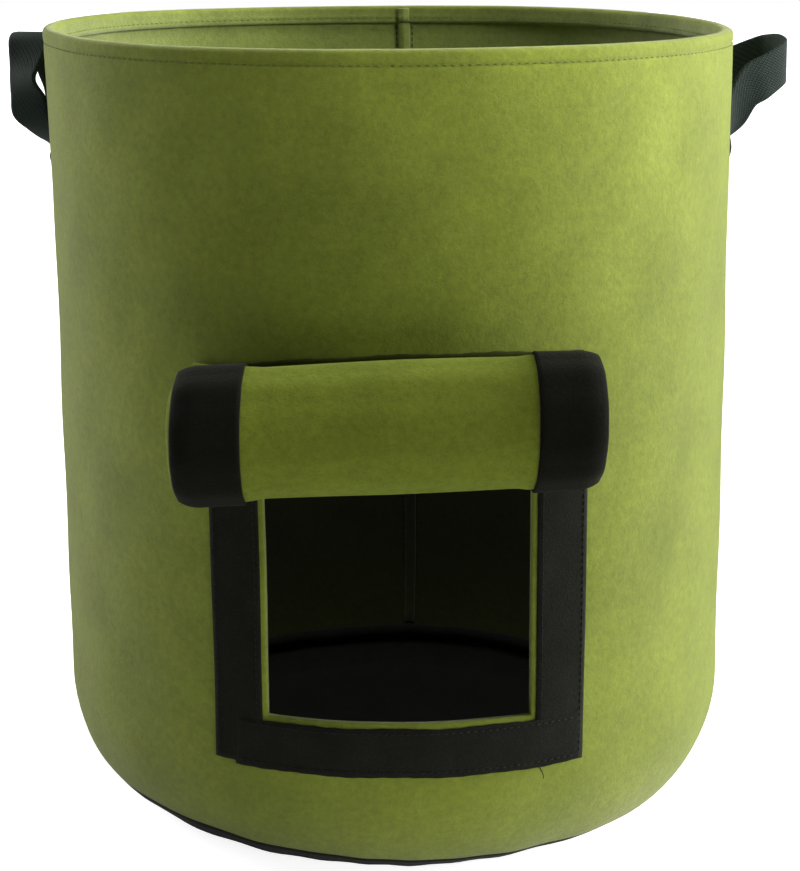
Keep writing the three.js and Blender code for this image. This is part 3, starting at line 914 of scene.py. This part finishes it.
def strap_path(line, wides, samples):
    """Even samples of a smooth curve through a line: places, directions, and smoothed width directions."""
    padded = np.vstack([2 * line[0] - line[1], line, 2 * line[-1] - line[-2]])
    where = np.linspace(0, len(line) - 1 - 1e-9, samples)
    k = where.astype(int)
    centres, headings = spline(*(padded[k + i] for i in range(4)), (where - k)[:, None])
    across = along_path(where, np.arange(len(wides)), wides)
    even = np.full(9, 1 / 9)
    for axis in range(3):
        across[:, axis] = np.convolve(np.pad(across[:, axis], 4, mode="edge"), even, mode="valid")
    return centres, headings, across / np.linalg.norm(across, axis=1, keepdims=True)


def strap_section():
    """The strap's section as (across, out) points, with thin edges."""
    half, thin, edge = WEBBING_WIDTH / 2, WEBBING_THICKNESS / 2, 0.5 * MM
    widths = np.linspace(-half + edge, half - edge, 15)
    section = [(-half, 0)] + [(w, thin) for w in widths] + [(half, 0)] + [(w, -thin) for w in widths[::-1]]
    return np.array(section).T


def webbing_handle(side):
    """One strap, lying on the wall where it is sewn down and free of it in the loop."""
    pos, out, around = handle_axes(side)
    centres, headings, acrosses = strap_path(*handle_stations(side, pos, out, around), 200)
    run = path_run(centres)
    free_share = smoothstep(-2 * MM, 8 * MM, centres[:, 2] - pos[2])
    wide, thick = strap_section()
    rings, uvs = [], []
    for k, (centre, heading, across) in enumerate(zip(centres, headings, acrosses)):
        normal = np.cross(across, heading)
        normal /= np.linalg.norm(normal)
        free = centre + np.outer(wide, across) + np.outer(thick, normal)
        end = np.sign(np.dot(centre - pos, around))
        arc = math.copysign(HANDLE_ARC, pos[0]) + end * HANDLE_END_ARC
        facing = np.sign(np.dot(normal, out)) or 1.0
        width_side = np.sign(np.dot(across, around)) or 1.0
        sewn, _ = wall_place(arc + width_side * wide, centre[2], 1.0 * MM + facing * thick)
        rings.append(sewn + (free - sewn) * free_share[k])
        uvs += [(w, run[k]) for w in wide]
    vertices, faces, caps = capped(rings)
    strap = make_object(f"{side}_handle_strap", vertices, faces, [WEBBING], uv=uvs, sharp=caps)
    start, end = pos - [0, 0, 4 * MM], pos + [0, 0, 7 * MM]
    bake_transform(strap)
    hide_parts(f"{side}_handle_near_end", f"{side}_handle_far_end", f"{side}_handle_loop")
    handle_stitches(side, pos)


def handle_stitches(side, pos):
    """A sewn box with a cross through it on each end of the strap."""
    half = 7.5 * MM
    low, high = pos[2] - 38 * MM, pos[2] - 6 * MM
    on_strap = WEBBING_THICKNESS + 0.05 * MM
    share = np.linspace(0, 1, 24)
    paths = []
    for end in (-1, 1):
        centre = math.copysign(HANDLE_ARC, pos[0]) + end * HANDLE_END_ARC
        left, right = centre - half, centre + half
        lines = [(left, low, right, low), (right, low, right, high), (right, high, left, high)]
        lines += [(left, high, left, low), (left, low, right, high), (left, high, right, low)]
        for arc, z, next_arc, next_z in lines:
            paths.append(wall_place(arc + (next_arc - arc) * share, z + (next_z - z) * share, on_strap))
    sew(f"{side}_handle_stitches", paths, BLACK_THREAD, pitch=2.8 * MM, length=2.1 * MM)


# ---------------- studio

def area_light(name, place, target, size, power, spread=180):
    """A rectangular light turned towards a target. spread is how wide it shines, in degrees."""
    data = bpy.data.lights.new(name, "AREA")
    data.shape = "RECTANGLE"
    data.size, data.size_y = size
    data.energy = power
    data.spread = math.radians(spread)
    lamp = bpy.data.objects.new(name, data)
    lamp.location = place
    lamp.rotation_euler = (Vector(target) - Vector(place)).to_track_quat("-Z", "Y").to_euler()
    bpy.context.scene.collection.objects.link(lamp)


def direction(azimuth, elevation):
    """A unit direction. azimuth is degrees round from the front, with 90 to the right."""
    turn, rise = math.radians(azimuth), math.radians(elevation)
    return (math.sin(turn) * math.cos(rise), -math.cos(turn) * math.cos(rise), math.sin(rise))


# Soft lights of the studio: azimuth, elevation, strength, and tightness
SOFT_LIGHTS = [(104, 13, 22.0, 19), (-127, 14, 9.2, 16)]
AMBIENT = 0.04


def surround():
    """A white surround for the camera. What lights the bag is a set of soft lobes at the sides."""
    nodes = Nodes(bpy.data.worlds.new("studio"))
    bpy.context.scene.world = nodes.owner
    facing = nodes.add("ShaderNodeTexCoord").outputs["Generated"]
    total = AMBIENT
    for azimuth, elevation, strength, tightness in SOFT_LIGHTS:
        inputs = {0: facing, 1: direction(azimuth, elevation)}
        toward = nodes.add("ShaderNodeVectorMath", inputs, operation="DOT_PRODUCT").outputs["Value"]
        lobe = nodes.math("POWER", nodes.math("MAXIMUM", toward, 0.0), tightness)
        total = nodes.math("ADD", nodes.math("MULTIPLY", lobe, strength), total)
    seen = nodes.add("ShaderNodeLightPath").outputs["Is Camera Ray"]
    unseen = nodes.math("MULTIPLY", total, nodes.math("SUBTRACT", 1.0, seen))
    back = nodes.tree.nodes["Background"]
    nodes.put(back.inputs["Color"], (1, 1, 1, 1))
    nodes.put(back.inputs["Strength"], nodes.math("ADD", unseen, seen))


def pale_floor():
    """A near-white floor, which the camera sees brighter than it is."""
    size = 6.0
    low = -1.2 * MM  # clear of the base's puckers
    vertices = [(-size, -size, low), (size, -size, low), (size, size, low), (-size, size, low)]
    nodes = material_nodes("pale_floor")
    place = nodes.add("ShaderNodeTexCoord").outputs["Object"]
    seen = nodes.add("ShaderNodeLightPath").outputs["Is Camera Ray"]
    tone = nodes.ramp(nodes.noise(place, 3, 2), [(0.3, (0.9, 0.9, 0.9)), (0.7, (0.93, 0.93, 0.93))])
    colour = nodes.mix(seen, (0.74, 0.74, 0.74, 1), tone)
    material = nodes.finish(colour, nodes.bump(nodes.noise(place, 300, 2), 0.1 * MM, 0.2), 0.85)
    shader = nodes.tree.nodes["Principled BSDF"]
    nodes.put(shader.inputs["Emission Color"], (1, 1, 1, 1))
    nodes.put(shader.inputs["Emission Strength"], nodes.math("MULTIPLY", seen, 0.85))
    floor = make_object("floor", vertices, [(0, 1, 2, 3)], [material], closed=False)


def studio():
    pale_floor()
    surround()
    area_light("top_front", (0.5, -0.38, 0.58), (0.1, -0.11, 0.43), (0.2, 0.15), 0.31, 50)
    area_light("overhead", (0.06, -0.24, 0.95), (0, -0.2, 0.2), (0.4, 0.15), 1.35)
    area_light("low_front", (0.36, -0.5, 0.14), (0.02, -0.14, 0.0), (0.3, 0.1), 0.13, 60)


def camera():
    """Stands in front of the window, 0.9 m away and above the rim, and looks down a little."""
    distance, height = 6 * RADIUS, 2.684 * RADIUS
    turn, down = math.radians(0.5), math.radians(13.82)
    data = bpy.data.cameras.new("camera")
    data.sensor_width = 36
    data.lens = 83.6
    data.shift_x = 0.0109
    data.shift_y = -0.0568
    data.clip_end = 50
    thing = bpy.data.objects.new("camera", data)
    thing.location = (-distance * math.sin(turn), -distance * math.cos(turn), height)
    thing.rotation_euler = (math.pi / 2 - down, 0, -turn)
    bpy.context.scene.collection.objects.link(thing)
    bpy.context.scene.camera = thing


camera()
felt_wall()
back_seam()
felt_base()
base_seam()
hem_stitches()
window_tapes()
thread_tail()
flap_seam()
flap_pieces()
for side in ("left", "right"):
    webbing_handle(side)
studio()
bpy.context.scene.view_settings.view_transform = "Standard"
